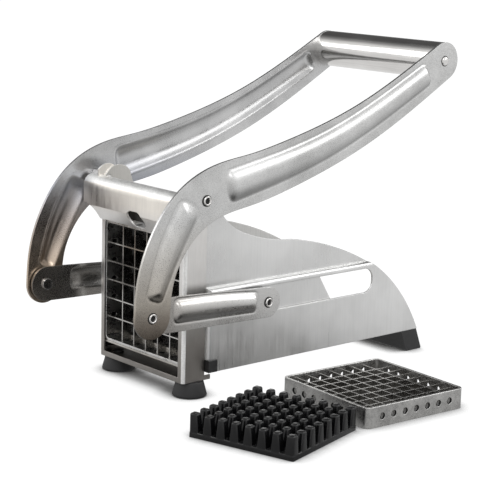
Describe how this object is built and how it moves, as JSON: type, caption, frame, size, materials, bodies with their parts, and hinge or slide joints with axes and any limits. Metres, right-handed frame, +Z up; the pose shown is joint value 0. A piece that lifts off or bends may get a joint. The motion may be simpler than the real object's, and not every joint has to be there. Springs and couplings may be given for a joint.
{
  "type": "vegetable dicer",
  "caption": "Lever-operated vegetable dicer: folded steel body, portal frame with blade grid, arms joined by a tube grip, links and pusher carriage, spare grid and peg block beside it.",
  "frame": {"origin": "middle of the rear foot's underside, on the bench, in the machine's middle plane", "axes": "+Z up, the mouth with its blade grid faces -Y, +X to the right-hand side seen from the front with the row's +Y away"},
  "size_m": [0.2047, 0.243, 0.1924],
  "materials": {
    "steel_sheet": "satin brushed",
    "steel_polished": "polished",
    "steel_blade": "ground edges",
    "rubber_black": "matt moulded",
    "plastic_black": "matt moulded",
    "plastic_gloss": "glossy moulded"
  },
  "bodies": {
    "base": {"side_wall_right": "steel_sheet", "side_wall_left": "steel_sheet", "front_frame": "steel_sheet", "floor_tray": "steel_sheet", "cross_bar": "plastic_black", "front_feet": "rubber_black", "rear_foot": "plastic_black", "pivot_rivets": "steel_polished", "pivot_spacers": "steel_sheet"},
    "handle": {"handle_arm_right": "steel_sheet", "handle_arm_left": "steel_sheet", "grip_tube": "steel_polished", "grip_rod": "steel_polished", "crank_rivets": "steel_polished"},
    "carriage": {"pusher_carriage": "steel_sheet", "carriage_pins": "steel_polished", "slide_shoes": "plastic_black"},
    "links": {"link_right": "steel_sheet", "link_left": "steel_sheet", "link_rivets": "steel_polished"},
    "peg block": {"peg_block_36": "plastic_gloss"},
    "cartridge": {"cartridge_frame_36": "steel_sheet", "blades_36_upright": "steel_blade", "blades_36_level": "steel_blade"},
    "spare peg block": {"spare_peg_block_64": "plastic_gloss"},
    "spare cartridge": {"spare_cartridge_frame_64": "steel_sheet", "spare_blades_64_long": "steel_blade", "spare_blades_64_cross": "steel_blade"}
  },
  "joints": [
    {"name": "handle_pivot", "type": "hinge", "parent": "base", "child": "handle", "pos_m": [0, -0.1796, 0.1134], "axis": [1, 0, 0], "range_deg": [-8, 75.5]},
    {"name": "carriage_slide", "type": "slide", "parent": "base", "child": "carriage", "axis": [0, 1, 0], "range_m": [-0.00885, 0.08345]},
    {"name": "link_hinge", "type": "hinge", "parent": "carriage", "child": "links", "pos_m": [0, -0.1307, 0.0503], "axis": [1, 0, 0], "range_deg": [-7.05, 0.78]},
    {"name": "peg_block_lift", "type": "slide", "parent": "carriage", "child": "peg block", "axis": [0, 0, 1], "range_m": [0, 0.11]},
    {"name": "cartridge_lift", "type": "slide", "parent": "base", "child": "cartridge", "axis": [0, 0, 1], "range_m": [0, 0.12]},
    {"name": "spare_peg_block_lift", "type": "slide", "parent": "base", "child": "spare peg block", "axis": [0, 0, 1], "range_m": [0, 0.15]},
    {"name": "spare_cartridge_lift", "type": "slide", "parent": "base", "child": "spare cartridge", "axis": [0, 0, 1], "range_m": [0, 0.15]}
  ],
  "couplings": [
    {"joint": "carriage_slide", "follows": "handle_pivot", "m_per_rad": 0.06332},
    {"joint": "link_hinge", "follows": "handle_pivot", "ratio": -0.092839}
  ]
}
